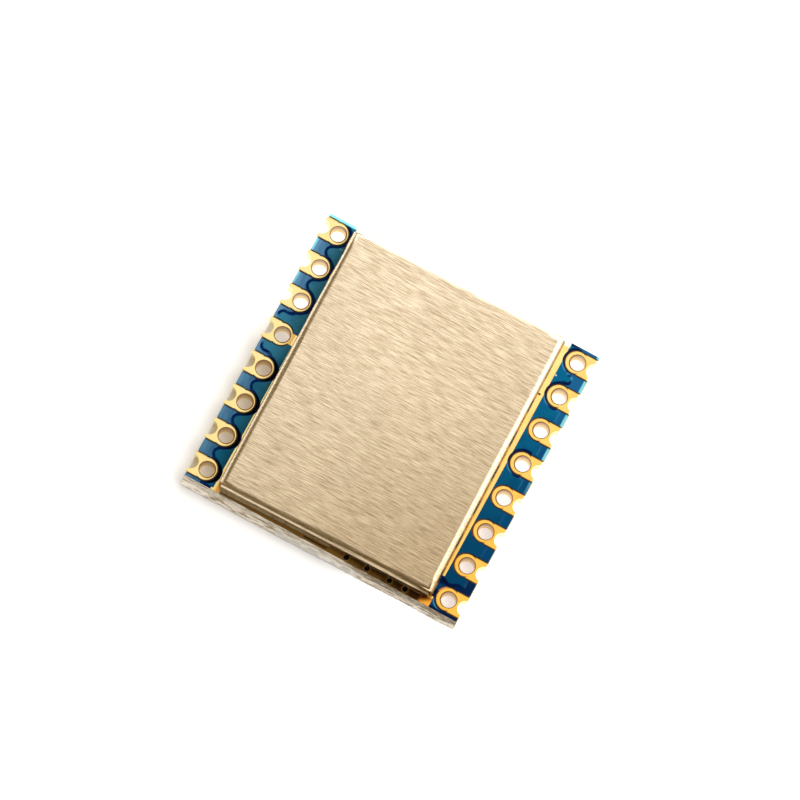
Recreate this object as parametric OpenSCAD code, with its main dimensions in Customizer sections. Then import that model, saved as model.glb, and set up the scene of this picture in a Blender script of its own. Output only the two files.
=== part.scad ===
// Shielded radio module: a castellated circuit board with a folded shield can over its circuit.
// Millimetres. +X runs from the left row of terminals to the right row, +Y to the back, +Z up.
// The origin is the middle of the underside, on the plane of the lower pads.

/* [Terminals] */
// Terminals in each row
row_count = 8; // [8:1:12]
// Distance between neighbouring terminals of a row
pitch = 2.0; // [1.9:0.05:2.54]
// Distance between the hole centres of the two rows
row_spacing = 14.0; // [13.8:0.1:18]
// Distance from a row of holes to the routed edge beside it
edge_offset = 1.0; // [0.9:0.05:1.4]
// Distance from the first and last hole of a row to the scored edge beside it
end_margin = 1.0; // [0.95:0.05:1.6]
// Radius of a plated hole
hole_r = 0.4; // [0.3:0.02:0.44]
// Radius of a plated half-round notch in the edge
notch_r = 0.4; // [0.3:0.02:0.44]
// Thickness of the plating on hole and notch walls
plating_t = 0.03; // [0.02:0.005:0.05]
// Outer radius of the ring round a hole
ring_r = 0.59; // [0.54:0.01:0.64]
// Width of the pad's tab, which runs out to the edge
tab_w = 1.18; // [1:0.02:1.24]
// Distance from the middle of the ring to the start of the tab
tab_start = 0.24; // [0.1:0.02:0.4]
// How far the copper artwork lies to the left of the drilled holes
art_shift = 0.07; // [0:0.01:0.1]
// Width of the bare web between the ground terminal of the left row and the shield frame
web_w = 0.6; // [0.3:0.05:0.8]

/* [Board] */
// Thickness of the glass-epoxy core
core_t = 1.1; // [0.8:0.05:1.6]
// Depth of each of the two facing grooves along which the board was snapped off
score_depth = 0.36; // [0.2:0.01:0.38]
// Angle between the walls of a groove
score_angle = 60; // [30:1:64]
// How far the snapped web between the grooves stands out
web_proud = 0.08; // [0.04:0.01:0.12]
// Height of the slope that leads from a groove to the snapped web
web_slope = 0.04; // [0.02:0.005:0.06]
// Thickness of copper under the solder mask
pour_t = 0.03; // [0.02:0.005:0.05]
// Thickness of the solder mask over copper
mask_t = 0.015; // [0.01:0.005:0.03]
// How far bare plated copper stands above the solder mask
pad_proud = 0.005; // [0.002:0.001:0.01]
// Thickness of the solder mask over bare laminate
mask_low_t = 0.022; // [0.016:0.001:0.028]
// How far the raised mask over the copper reaches past the copper's edge
mask_drape = 0.03; // [0.02:0.005:0.05]
// Gap between a pad and the solder mask round it
mask_gap = 0.05; // [0.03:0.01:0.08]

/* [Ground copper] */
// Gap between a signal pad and the copper round it
clearance = 0.16; // [0.12:0.01:0.22]
// How far the lobes between the pads reach past the row of holes
lobe_reach = 0.15; // [0.05:0.05:0.3]
// Radius of the round tips of the lobes
lobe_tip_r = 0.32; // [0.3:0.01:0.4]
// Width of the copper area round the webbed terminal
web_area_w = 2.2; // [1.6:0.05:2.25]
// Corner radius of that area
web_area_r = 0.25; // [0.1:0.05:0.4]
// Gap between the copper and the board's edges
copper_edge = 0.1; // [0.06:0.01:0.2]
// How far the bare frame reaches past the nominal side walls of the shield
frame_lip = 0.23; // [0.1:0.01:0.25]
// Width of the frame inside the shield's nominal outline
frame_band = 0.5; // [0.4:0.02:0.6]
// Width of the antenna trace
trace_w = 0.38; // [0.2:0.02:0.5]
// How far the trace lies behind the middle of the antenna terminal
trace_offset = 0.37; // [0.2:0.01:0.38]
// Length of the gap that the frame leaves for the antenna trace
antenna_gap = 1.2; // [0.9:0.05:1.4]
// Radius of a ground via
via_r = 0.145; // [0.1:0.005:0.15]
// Thickness of a via's plating
via_wall = 0.02; // [0.015:0.005:0.025]
// Distance from the vias to the front edge of the upper face
via_edge = 0.2; // [0.175:0.005:0.22]

/* [Shield] */
// Thickness of the shield's sheet
sheet_t = 0.15; // [0.1:0.01:0.2]
// Inner radius of the shield's folds
bend_inner_r = 0.15; // [0.03:0.01:0.2]
// Distance from a row of holes to the nominal wall of the shield
can_side_gap = 0.92; // [0.8:0.01:1]
// Distance from the snapped edges to the nominal end walls of the shield
can_end_gap = 0.46; // [0.45:0.01:0.7]
// Gap that a corner notch leaves between its two walls
relief_gap = 0.03; // [0.01:0.01:0.1]
// Free height between the tallest component and the shield
head_room = 0.15; // [0.1:0.01:0.6]
// Thickness of the solder film under the walls
solder_t = 0.03; // [0.02:0.005:0.05]
// Size of the solder fillet along the left part of the front wall
fillet_r = 0.1; // [0.06:0.01:0.14]
// Length of that fillet
fillet_l = 6.2; // [2:0.1:9]
// How far the soldered shield sits to the left of the middle
can_shift = 0.06; // [0:0.01:0.16]
// How far the soldered shield sits behind the middle
can_back = 0.05; // [0:0.01:0.06]
// Angle by which the soldered shield is turned on its frame
can_turn = 0.8; // [0:0.1:0.9]

/* [Chip and switch] */
// Width and length of the transceiver chip
chip_w = 6.0; // [5:0.1:6.4]
// Height of the transceiver chip
chip_h = 0.85; // [0.8:0.05:1.2]
// Leads on each side of the transceiver chip
chip_leads = 7; // [5:1:7]
// Lead spacing of the transceiver chip
chip_lead_pitch = 0.65; // [0.5:0.05:0.65]
// Width of the transceiver's centre pad
chip_pad_w = 4.2; // [2:0.1:4.3]
// Place of the chip to the left of the middle
chip_left = 1.0; // [0.7:0.1:1.2]
// Place of the chip behind the middle
chip_back = 1.4; // [1.2:0.1:1.8]
// Width and length of the antenna switch
switch_w = 1.5; // [1.4:0.1:1.7]
// Height of the antenna switch
switch_h = 0.55; // [0.4:0.05:0.75]
// Lead spacing of the antenna switch
switch_lead_pitch = 0.5; // [0.4:0.05:0.5]
// Place of the antenna switch to the right of the middle
switch_right = 4.2; // [3.8:0.1:4.3]
// Width of a lead
lead_w = 0.28; // [0.18:0.02:0.32]
// Length of a lead
lead_l = 0.4; // [0.25:0.05:0.45]
// Thickness of a lead
lead_t = 0.2; // [0.1:0.05:0.25]

/* [Crystal] */
// Length of the crystal's base, across the board
crystal_l = 3.2; // [2.5:0.1:3.4]
// Width of the crystal's base
crystal_w = 2.5; // [2:0.1:2.7]
// Height of the crystal's base
crystal_h = 0.5; // [0.4:0.05:0.55]
// Thickness of the crystal's lid
crystal_lid_t = 0.18; // [0.1:0.02:0.22]
// Gap between the edge of the lid and the edge of the base
crystal_lid_inset = 0.2; // [0.1:0.02:0.3]
// Thickness of the crystal's end pads
crystal_pad_t = 0.05; // [0.03:0.01:0.06]
// Length and width of a crystal end pad
crystal_pad_w = 0.9; // [0.6:0.05:0.95]
// How far the crystal sits to the left of the chip's middle
crystal_left = 1.2; // [0.8:0.1:1.4]

/* [Small components] */
// Length of a capacitor, inductor or resistor
passive_l = 1.0; // [0.8:0.05:1.1]
// Width of a capacitor, inductor or resistor
passive_w = 0.5; // [0.4:0.02:0.56]
// Height of a capacitor or inductor
passive_h = 0.5; // [0.35:0.05:0.6]
// Height of a resistor
resistor_h = 0.35; // [0.25:0.05:0.45]
// Length of a metal end
end_l = 0.25; // [0.15:0.01:0.32]
// How far a metal end stands out round the body
end_proud = 0.02; // [0.01:0.005:0.03]
// Spacing of components in a row
passive_pitch = 0.95; // [0.9:0.01:1]
// Gap between a row of components and its neighbour
part_gap = 0.45; // [0.4:0.01:0.48]
// How far a land reaches past the component on it
land_toe = 0.12; // [0.05:0.01:0.15]
// How far a land reaches past the component's sides
land_side = 0.05; // [0.02:0.01:0.07]

/* [Hidden] */
$fn = 48;

// Allowance by which a cutting shape passes the face that it cuts
cut = 1;

terminal_count = 2 * row_count;
// The antenna terminal is the front one of the right row
antenna_terminal = row_count + 1;
// The bare web joins this terminal of the left row to the frame
web_terminal = 4;
// Places, counted from the front, of the right row's terminals that lie in the ground copper
right_ground_places = [2, 3, 4, 6];
ground_terminals = concat([web_terminal], [for (place = right_ground_places) row_count + place]);
// Places of the vias in the front strip, to the right of the middle
via_places = [1.38, 2.58, 3.88, 4.78];

// Board outline
board_w = row_spacing + 2 * edge_offset;
board_l = (row_count - 1) * pitch + 2 * end_margin;
score_recess = score_depth * tan(score_angle / 2);
face_l = board_l - 2 * score_recess;

// Levels of the stack, from the lower pads up
pad_t = pour_t + mask_t + pad_proud;
z_core = pad_t;
z_face = z_core + core_t;
z_pad = z_face + pad_t;
z_can = z_pad + solder_t;

// Shield
bend_r = bend_inner_r + sheet_t;
relief = sheet_t + relief_gap;
can_w = row_spacing - 2 * can_side_gap;
can_l = board_l - 2 * can_end_gap;
can_h = chip_h + head_room + sheet_t - solder_t;

// Frame and copper
frame_w = can_w + 2 * frame_lip;
window_w = can_w - 2 * frame_band;
window_l = can_l - 2 * frame_band;
pour_w = row_spacing + 2 * (lobe_reach - lobe_tip_r);
pour_l = face_l - 2 * copper_edge;
trace_y = terminal_y(antenna_terminal) + trace_offset;
via_y = via_edge - face_l / 2;

// Components
chip_at = [-chip_left, chip_back];
switch_at = [switch_right, trace_y + switch_lead_pitch];
switch_leads = 3;
row_step = part_gap + passive_l / 2;
back_row_y = chip_at.y + chip_w / 2 + row_step;
front_row_y = chip_at.y - chip_w / 2 - row_step;
inner_column_x = chip_at.x + chip_w / 2 + row_step;
outer_column_x = inner_column_x + passive_l + part_gap;
left_column_x = chip_at.x - chip_w / 2 - part_gap - passive_w / 2;
left_column_pitch = passive_l + part_gap;
antenna_row_y = switch_at.y + switch_w / 2 + row_step;
crystal_at = [chip_at.x - crystal_left, front_row_y - row_step - crystal_w / 2];
crystal_lid_l = crystal_l - 2 * crystal_lid_inset;
crystal_lid_w = crystal_w - 2 * crystal_lid_inset;

// A row of count places about a middle, with its step as a vector
function row_of(middle, step, count, turn) =
    [for (k = [0 : count - 1]) [middle + (k - (count - 1) / 2) * step, turn]];

// Each component is [place, turn]
capacitors = concat(
    row_of([chip_at.x, back_row_y], [passive_pitch, 0], 5, 90),
    row_of([outer_column_x, chip_at.y], [0, passive_pitch], 4, 0),
    row_of([chip_at.x - 2 * passive_pitch, front_row_y], [passive_pitch, 0], 2, 90),
    row_of([switch_at.x, antenna_row_y], [2 * passive_pitch, 0], 2, 90)
);
inductors = concat(
    row_of([inner_column_x, chip_at.y], [0, passive_pitch], 4, 0),
    row_of([switch_at.x, antenna_row_y], [0, 0], 1, 90)
);
resistors = concat(
    row_of([left_column_x, chip_at.y], [0, left_column_pitch], 3, 90),
    row_of([chip_at.x + 2 * passive_pitch, front_row_y], [passive_pitch, 0], 2, 90)
);
passives = concat(capacitors, inductors, resistors);

// Terminals run from the back of the left row to its front, then from the front of the right row to its back
function terminal_side(i) = i <= row_count ? -1 : 1;
function terminal_place(i) = i <= row_count ? i - 1 : terminal_count - i;
function terminal_y(i) = ((row_count - 1) / 2 - terminal_place(i)) * pitch;
function in_ground(i) = len(search(i, ground_terminals)) > 0;

terminal_names = [for (i = [1 : terminal_count]) str("terminal_", i)];

// Puts a shape at terminal i, with its own +X pointing out to the edge
module at_terminal(i) {
    translate([terminal_side(i) * row_spacing / 2, terminal_y(i)])
        mirror([terminal_side(i) < 0 ? 1 : 0, 0, 0])
            children();
}

// Puts copper and mask outlines in the artwork's place
module at_artwork() {
    translate([-art_shift, 0])
        children();
}

// Puts a shape in the soldered shield's place
module at_can() {
    translate([-can_shift, can_back])
        rotate(can_turn)
            children();
}

module at_vias() {
    for (x = via_places)
        translate([x, via_y])
            children();
}

// Ring of terminal i, grown by a gap
module ring_outline(i, gap = 0) {
    translate([-terminal_side(i) * art_shift, 0])
        circle(ring_r + gap);
}

// Pad of terminal i, grown by a gap: the ring, and a tab that runs out to the edge
module pad_outline(i, gap = 0) {
    start_x = tab_start - terminal_side(i) * art_shift;
    ring_outline(i, gap);
    translate([start_x, -tab_w / 2 - gap])
        square([edge_offset + gap - start_x, tab_w + 2 * gap]);
}

// Web from the ground terminal in to the frame
module web_outline() {
    web_l = row_spacing / 2 - frame_w / 2 - art_shift;
    translate([-web_l, -web_w / 2])
        square([web_l, web_w]);
}

module upper_pad_outline(i, gap = 0) {
    pad_outline(i, gap);
    if (i == web_terminal)
        web_outline();
}

// One terminal: upper pad, plated hole, plated half-round notch and lower pad
module terminal(i) {
    color("goldenrod")
        at_terminal(i)
            difference() {
                union() {
                    translate([0, 0, z_face])
                        linear_extrude(pad_t)
                            upper_pad_outline(i);
                    linear_extrude(pad_t)
                        pad_outline(i);
                    cylinder(r = hole_r + plating_t, h = z_pad);
                    translate([edge_offset, 0, 0])
                        cylinder(r = notch_r + plating_t, h = z_pad);
                }
                translate([0, 0, -cut])
                    cylinder(r = hole_r, h = z_pad + 2 * cut);
                translate([edge_offset, 0, -cut])
                    cylinder(r = notch_r, h = z_pad + 2 * cut);
                translate([edge_offset, -cut, -cut])
                    cube([cut, 2 * cut, z_pad + 2 * cut]);
            }
}

// Section of the core across its scored edges: grooves above and below, and a snapped web between
module core_section() {
    half_face = face_l / 2;
    half_board = board_l / 2;
    half_web = half_board + web_proud;
    groove_end = score_depth + web_slope;
    polygon([
        [-half_face, 0], [half_face, 0],
        [half_board, score_depth], [half_web, groove_end],
        [half_web, core_t - groove_end], [half_board, core_t - score_depth],
        [half_face, core_t], [-half_face, core_t],
        [-half_board, core_t - score_depth], [-half_web, core_t - groove_end],
        [-half_web, groove_end], [-half_board, score_depth],
    ]);
}

module unclad_core() {
    color("tan")
        difference() {
            translate([-board_w / 2, 0, z_core])
                rotate([90, 0, 90])
                    linear_extrude(board_w)
                        core_section();
            for (i = [1 : terminal_count])
                at_terminal(i) {
                    cylinder(r = hole_r + plating_t, h = z_pad);
                    translate([edge_offset, 0, 0])
                        cylinder(r = notch_r + plating_t, h = z_pad);
                }
            at_vias()
                cylinder(r = via_r + via_wall, h = z_pad);
        }
}

// Bare frame under and round the shield, open where the antenna trace passes
module frame_outline() {
    difference() {
        at_artwork()
            square([frame_w, face_l], center = true);
        window_outline();
        antenna_opening();
        for (i = [1 : terminal_count])
            if (!in_ground(i))
                at_terminal(i)
                    ring_outline(i, clearance);
    }
}

// Space for the circuit inside the frame
module window_outline() {
    at_artwork()
        square([window_w, window_l], center = true);
}

// Space in the ground copper for the antenna trace, narrowed by a gap
module antenna_opening(gap = 0) {
    translate([0, trace_y - antenna_gap / 2 + gap])
        square([board_w, antenna_gap - 2 * gap]);
}

// Copper between neighbouring terminals, grown by a gap: a lobe with a round tip, or a plain end beside ground
module row_lobes(gap = 0) {
    for (i = [1 : terminal_count - 1])
        if (i != row_count)
            at_terminal(i)
                translate([-terminal_side(i) * art_shift, terminal_side(i) * pitch / 2])
                    if (in_ground(i) || in_ground(i + 1))
                        translate([-lobe_tip_r, -pitch / 2])
                            square([lobe_tip_r + lobe_reach + gap, pitch]);
                    else
                        translate([lobe_reach - lobe_tip_r, 0])
                            circle(lobe_tip_r + gap);
}

// Wide area of copper round the webbed terminal, grown by a gap
module web_area(gap = 0) {
    at_terminal(web_terminal)
        rotate(-90)
            arch_outline(web_area_w + 2 * gap, edge_offset - copper_edge + gap, web_area_r + gap);
}

// Copper under the mask, grown by a gap
module pour_outline(gap = 0) {
    difference() {
        union() {
            at_artwork()
                square([pour_w, pour_l + 2 * gap], center = true);
            row_lobes(gap);
            web_area(gap);
        }
        window_outline();
        antenna_opening(gap);
        for (i = [1 : terminal_count])
            at_terminal(i)
                upper_pad_outline(i, in_ground(i) ? 0 : clearance - gap);
    }
}

module top_ground() {
    color("gold")
        translate([0, 0, z_face])
            difference() {
                union() {
                    linear_extrude(pour_t)
                        pour_outline();
                    linear_extrude(pad_t)
                        frame_outline();
                }
                at_vias()
                    cylinder(r = via_r + via_wall, h = pad_t);
            }
}

module bottom_pour_outline() {
    inner_w = row_spacing - 2 * (ring_r + clearance);
    at_artwork()
        square([inner_w, pour_l], center = true);
}

module bottom_ground() {
    color("darkgoldenrod")
        translate([0, 0, z_core - pour_t])
            difference() {
                linear_extrude(pour_t)
                    bottom_pour_outline();
                at_vias()
                    cylinder(r = via_r + via_wall, h = pour_t);
            }
}

// Trace from the antenna switch's land to the antenna terminal's ring, grown by a gap
module antenna_trace_outline(gap = 0) {
    start_x = switch_at.x + switch_w / 2 + land_toe;
    difference() {
        translate([start_x, trace_y - trace_w / 2 - gap])
            square([row_spacing / 2 - start_x, trace_w + 2 * gap]);
        at_terminal(antenna_terminal)
            pad_outline(antenna_terminal);
    }
}

module antenna_trace() {
    color("gold")
        translate([0, 0, z_face])
            linear_extrude(pour_t)
                antenna_trace_outline();
}

// Plated barrels, closed below by the lower mask
module ground_vias() {
    color("goldenrod")
        at_vias()
            translate([0, 0, z_core - pour_t])
                difference() {
                    cylinder(r = via_r + via_wall, h = z_pad - z_core + pour_t);
                    translate([0, 0, -cut])
                        cylinder(r = via_r, h = z_pad + 2 * cut);
                }
}

// Board face without the openings round the pads of the rows
module masked_face() {
    difference() {
        square([board_w, face_l], center = true);
        for (i = [1 : terminal_count])
            at_terminal(i)
                pad_outline(i, mask_gap);
    }
}

// Upper face without the bare copper
module upper_masked_face() {
    difference() {
        masked_face();
        frame_outline();
        at_terminal(web_terminal)
            web_outline();
        lands_outline(mask_gap);
    }
}

// Mask over the laminate, raised where it drapes over copper
module top_mask() {
    color("royalblue")
        translate([0, 0, z_face])
            difference() {
                union() {
                    linear_extrude(mask_low_t)
                        upper_masked_face();
                    linear_extrude(pour_t + mask_t)
                        intersection() {
                            upper_masked_face();
                            union() {
                                pour_outline(mask_drape);
                                antenna_trace_outline(mask_drape);
                            }
                        }
                }
                linear_extrude(pour_t) {
                    pour_outline();
                    antenna_trace_outline();
                }
            }
}

module bottom_mask() {
    color("royalblue")
        translate([0, 0, z_core - pour_t - mask_t])
            difference() {
                linear_extrude(pour_t + mask_t)
                    masked_face();
                translate([0, 0, mask_t]) {
                    linear_extrude(pour_t)
                        bottom_pour_outline();
                    at_vias()
                        cylinder(r = via_r + via_wall, h = pour_t);
                }
            }
}

// Outline with two rounded upper corners, standing on the axis
module arch_outline(w, h, r) {
    translate([-w / 2, 0])
        square([w, h - r]);
    translate([r - w / 2, 0])
        square([w - 2 * r, h]);
    for (side = [-1, 1])
        translate([side * (w / 2 - r), h - r])
            circle(r);
}

// Block whose rounded upper edges meet in mitres at its corners
module folded_block(w, l, h, r) {
    intersection() {
        translate([0, l / 2, 0])
            rotate([90, 0, 0])
                linear_extrude(l)
                    arch_outline(w, h, r);
        translate([-w / 2, 0, 0])
            rotate([90, 0, 90])
                linear_extrude(w)
                    arch_outline(l, h, r);
    }
}

// One folded sheet: the folds meet in mitres, and a notch at each corner parts the walls
module shield_can() {
    inner_w = can_w - 2 * sheet_t;
    inner_l = can_l - 2 * sheet_t;
    color("wheat")
        at_can()
            translate([0, 0, z_can])
                difference() {
                    folded_block(can_w, can_l, can_h, bend_r);
                    translate([0, 0, -cut])
                        folded_block(inner_w, inner_l, can_h - sheet_t + cut, bend_inner_r);
                    for (side = [-1, 1], end = [-1, 1])
                        translate([side * can_w / 2, end * can_l / 2, -cut])
                            linear_extrude(can_h + 2 * cut)
                                square(2 * relief, center = true);
                }
}

// Footprint of the shield's four walls
module wall_footprint() {
    end_wall_l = can_w - 2 * relief;
    side_wall_l = can_l - 2 * relief;
    for (side = [-1, 1]) {
        translate([side * (can_w - sheet_t) / 2, 0])
            square([sheet_t, side_wall_l], center = true);
        translate([0, side * (can_l - sheet_t) / 2])
            square([end_wall_l, sheet_t], center = true);
    }
}

// Film between the walls and the frame, with a hollow fillet along the left part of the front wall
module shield_solder() {
    color("silver")
        translate([0, 0, z_pad]) {
            linear_extrude(solder_t)
                intersection() {
                    at_can()
                        wall_footprint();
                    frame_outline();
                }
            at_can()
                translate([relief - can_w / 2, -can_l / 2, 0])
                    rotate([90, 0, 90])
                        linear_extrude(fillet_l)
                            difference() {
                                translate([-fillet_r, 0])
                                    square(fillet_r);
                                translate([-fillet_r, fillet_r])
                                    circle(fillet_r);
                            }
        }
}

// Places along one side of a leadless part, with +X pointing out of that side
module at_leads(w, sides, count, lead_pitch) {
    for (turn = sides, k = [0 : count - 1])
        rotate(turn)
            translate([w / 2 - lead_l / 2, (k - (count - 1) / 2) * lead_pitch])
                children();
}

all_sides = [0, 90, 180, 270];
two_sides = [0, 180];

module lead_outline(toe = 0, side = 0) {
    translate([-lead_l / 2, -lead_w / 2 - side])
        square([lead_l + toe, lead_w + 2 * side]);
}

module chip_leads_solid() {
    at_leads(chip_w, all_sides, chip_leads, chip_lead_pitch)
        linear_extrude(lead_t)
            lead_outline();
    linear_extrude(lead_t)
        square(chip_pad_w, center = true);
}

module switch_leads_solid() {
    at_leads(switch_w, two_sides, switch_leads, switch_lead_pitch)
        linear_extrude(lead_t)
            lead_outline();
}

module transceiver_leads() {
    color("silver")
        translate([chip_at.x, chip_at.y, z_pad])
            chip_leads_solid();
}

module transceiver_body() {
    color("dimgray")
        translate([chip_at.x, chip_at.y, z_pad])
            difference() {
                translate([-chip_w / 2, -chip_w / 2, 0])
                    cube([chip_w, chip_w, chip_h]);
                chip_leads_solid();
            }
}

module antenna_switch_leads() {
    color("silver")
        translate([switch_at.x, switch_at.y, z_pad])
            switch_leads_solid();
}

module antenna_switch_body() {
    color("dimgray")
        translate([switch_at.x, switch_at.y, z_pad])
            difference() {
                translate([-switch_w / 2, -switch_w / 2, 0])
                    cube([switch_w, switch_w, switch_h]);
                switch_leads_solid();
            }
}

// Corners of the crystal's underside
module at_crystal_pads() {
    for (x = [-1, 1], y = [-1, 1])
        translate([x * (crystal_l - crystal_pad_w) / 2, y * (crystal_w - crystal_pad_w) / 2])
            children();
}

module crystal_pads() {
    color("gold")
        translate([crystal_at.x, crystal_at.y, z_pad])
            at_crystal_pads()
                linear_extrude(crystal_pad_t)
                    square(crystal_pad_w, center = true);
}

module crystal_base() {
    color("darkslategray")
        translate([crystal_at.x, crystal_at.y, z_pad + crystal_pad_t])
            linear_extrude(crystal_h)
                square([crystal_l, crystal_w], center = true);
}

module crystal_lid() {
    color("lightgray")
        translate([crystal_at.x, crystal_at.y, z_pad + crystal_pad_t + crystal_h])
            linear_extrude(crystal_lid_t)
                square([crystal_lid_l, crystal_lid_w], center = true);
}

// Puts a shape at each component of a list
module at_parts(list) {
    for (part = list)
        translate([part[0].x, part[0].y, 0])
            rotate(part[1])
                children();
}

// Bodies between the metal ends, a little slimmer than these
module passive_bodies(list, h) {
    body_l = passive_l - 2 * end_l;
    body_w = passive_w - 2 * end_proud;
    at_parts(list)
        translate([-body_l / 2, -body_w / 2, z_pad + end_proud])
            cube([body_l, body_w, h - 2 * end_proud]);
}

module passive_ends(list, h) {
    at_parts(list)
        for (side = [-1, 1])
            translate([side * (passive_l - end_l) / 2, 0, z_pad])
                linear_extrude(h)
                    square([end_l, passive_w], center = true);
}

module capacitor_bodies() {
    color("peru")
        passive_bodies(capacitors, passive_h);
}

module capacitor_ends() {
    color("silver")
        passive_ends(capacitors, passive_h);
}

module inductor_bodies() {
    color("slategray")
        passive_bodies(inductors, passive_h);
}

module inductor_ends() {
    color("silver")
        passive_ends(inductors, passive_h);
}

module resistor_bodies() {
    color("black")
        passive_bodies(resistors, resistor_h);
}

module resistor_ends() {
    color("silver")
        passive_ends(resistors, resistor_h);
}

// Copper lands under every lead, end and pad, grown by a gap
module lands_outline(gap = 0) {
    land_l = end_l + land_toe + 2 * gap;
    land_w = passive_w + 2 * (land_side + gap);
    at_parts(passives)
        for (side = [-1, 1])
            translate([side * (passive_l - end_l + land_toe) / 2, 0])
                square([land_l, land_w], center = true);
    translate(chip_at) {
        at_leads(chip_w, all_sides, chip_leads, chip_lead_pitch)
            lead_outline(land_toe + gap, gap);
        square(chip_pad_w + 2 * gap, center = true);
    }
    translate(switch_at)
        at_leads(switch_w, two_sides, switch_leads, switch_lead_pitch)
            lead_outline(land_toe + gap, gap);
    translate(crystal_at)
        at_crystal_pads()
            square(crystal_pad_w + 2 * gap, center = true);
}

module component_lands() {
    color("gold")
        translate([0, 0, z_face])
            linear_extrude(pad_t)
                lands_outline();
}

unclad_core();
top_mask();
bottom_mask();
top_ground();
bottom_ground();
antenna_trace();
for (i = [1 : terminal_count])
    terminal(i);
ground_vias();
shield_can();
shield_solder();
component_lands();
transceiver_body();
transceiver_leads();
antenna_switch_body();
antenna_switch_leads();
crystal_base();
crystal_lid();
crystal_pads();
capacitor_bodies();
capacitor_ends();
inductor_bodies();
inductor_ends();
resistor_bodies();
resistor_ends();
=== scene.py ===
"""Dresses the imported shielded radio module: plated terminals, draped mask, scored laminate, folded shield.

Pieces are modelled in millimetres and brought to metres when they are settled on the frame.
"""

import math
from functools import cached_property

import bmesh
import bpy
import numpy as np
from bpy.props import FloatProperty, FloatVectorProperty, IntProperty, PointerProperty
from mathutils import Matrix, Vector


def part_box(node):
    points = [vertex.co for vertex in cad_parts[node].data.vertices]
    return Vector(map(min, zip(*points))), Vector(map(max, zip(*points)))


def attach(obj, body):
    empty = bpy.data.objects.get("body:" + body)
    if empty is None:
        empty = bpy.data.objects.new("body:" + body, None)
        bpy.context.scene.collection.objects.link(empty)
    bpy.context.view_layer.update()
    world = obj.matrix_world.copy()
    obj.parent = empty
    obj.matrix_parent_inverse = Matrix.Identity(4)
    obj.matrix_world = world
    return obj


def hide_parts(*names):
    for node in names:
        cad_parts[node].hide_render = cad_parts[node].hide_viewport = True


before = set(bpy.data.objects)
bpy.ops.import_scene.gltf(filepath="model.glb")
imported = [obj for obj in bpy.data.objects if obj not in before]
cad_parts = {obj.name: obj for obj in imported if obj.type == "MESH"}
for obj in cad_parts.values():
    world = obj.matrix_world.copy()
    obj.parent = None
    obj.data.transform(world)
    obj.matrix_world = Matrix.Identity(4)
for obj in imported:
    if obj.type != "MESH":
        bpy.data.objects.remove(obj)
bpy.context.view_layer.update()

bl_info = {
    "name": "Shielded radio module",
    "version": (1, 0, 0),
    "blender": (4, 5, 0),
    "location": "View3D > Sidebar > Radio module",
    "description": "Models the visible pieces of a small shielded radio module on its CAD frame",
    "category": "Add Mesh",
}

MM = 1000.0  # millimetres in a metre

# Terminals are numbered down the left row and up the right one
ROWS = 8
TERMINALS = range(1, 2 * ROWS + 1)
GROUND_TERMINALS = (4, 10, 11, 12, 14)
SIGNAL_TERMINALS = [i for i in TERMINALS if i not in GROUND_TERMINALS]
WEB_TERMINAL = 4
# How dark the mask is beside the ring of each signal terminal, where it pools and where shade is painted
POOL_AND_SHADE_DEPTHS = {1: 0.5, 2: 0.6, 3: 0.6, 5: 1.0, 6: 1.0, 7: 1.0, 8: 1.0, 9: 0.5, 13: 0.7, 15: 0.8, 16: 0.7}


def span(node):
    """Lowest and highest corner of a CAD node, in millimetres."""
    low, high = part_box(node)
    return low * MM, high * MM


# Places in millimetres, where a pair is for the left (-1) and the right (1) side
CORE_LOW, CORE_HIGH = span("unclad_core")
Z_FACE = CORE_HIGH.z
Z_CORE = CORE_LOW.z
Z_PAD = span("terminal_1")[1].z
BELOW, ABOVE = -1, 2  # heights clear of the board, for tools that cut right through it
HALF_WIDTH = CORE_HIGH.x
HALF_WEB = CORE_HIGH.y
FACE_HALF = 7.792  # half the length of the upper face, between the scored grooves
ROUTED = {-1: 7.88, 1: 7.9}  # routed edges of the laminate
ROW_X = 7.0
PITCH = 2.0
RING = 0.59
HALF_TAB = 0.59
TAB_START = 0.24
TAB_END = {-1: 7.945, 1: 7.91}
NOTCH_X = 7.94  # middle of the half-round notches
ART = 0.07  # how far the etched artwork lies left of the drilled holes
FRAME_HALF = 6.31  # half the width of the ground frame
LINK_HALF = 0.3  # half the width of the web from the ground frame to its terminal
BARE_FRAME = {-1: -6.27, 1: 6.25}  # where the mask gives way to the bare ground frame
FILM_START = {-1: 6.1, 1: 5.5}  # inner and outer edges of the draped film
FILM_END = {-1: 7.87, 1: 7.865}
INNER_MASK = (-6.0, 5.6)  # left and right ends of the flat mask under the shield
MASK_OPENING = 0.07  # gap between a pad and the mask
MASK_BITE = {-1: 0.88, 1: 0.7}  # radius of the mask that reaches into the bare frame round a signal ring
TRACE_Y = -6.63
TRACE_HALF = 0.19
TRACE_GAP = 0.6  # from the middle of the trace to the edge of its opening in the copper
VIAS = (1.38, 2.58, 3.88, 4.78)
VIA_Y = -7.592
VIA_BORE = 0.165
COPPER_ENDS = (-6.6, 6.55)  # where the modelled ground copper ends under the mask
COPPER_BITE = 0.86  # radius that is cut from it round the signal rings of the left row
CAN_AT = (-0.078, 0.05, 0)  # middle of the shield
DARK_SPECK = (6.03, 4.62)
WHITE_SPECK = (6.31, 5.9)
SCRATCH = (-6.58, 6.1)
FINE = 96  # sides of a round that is seen close


def side_of(i):
    """-1 for a terminal of the left row, 1 for the right row."""
    return -1 if i <= ROWS else 1


def terminal_at(i):
    """Middle of the plated hole of terminal i."""
    place = i - 1 if i <= ROWS else 2 * ROWS - i
    return side_of(i) * ROW_X, ((ROWS - 1) / 2 - place) * PITCH


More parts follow.
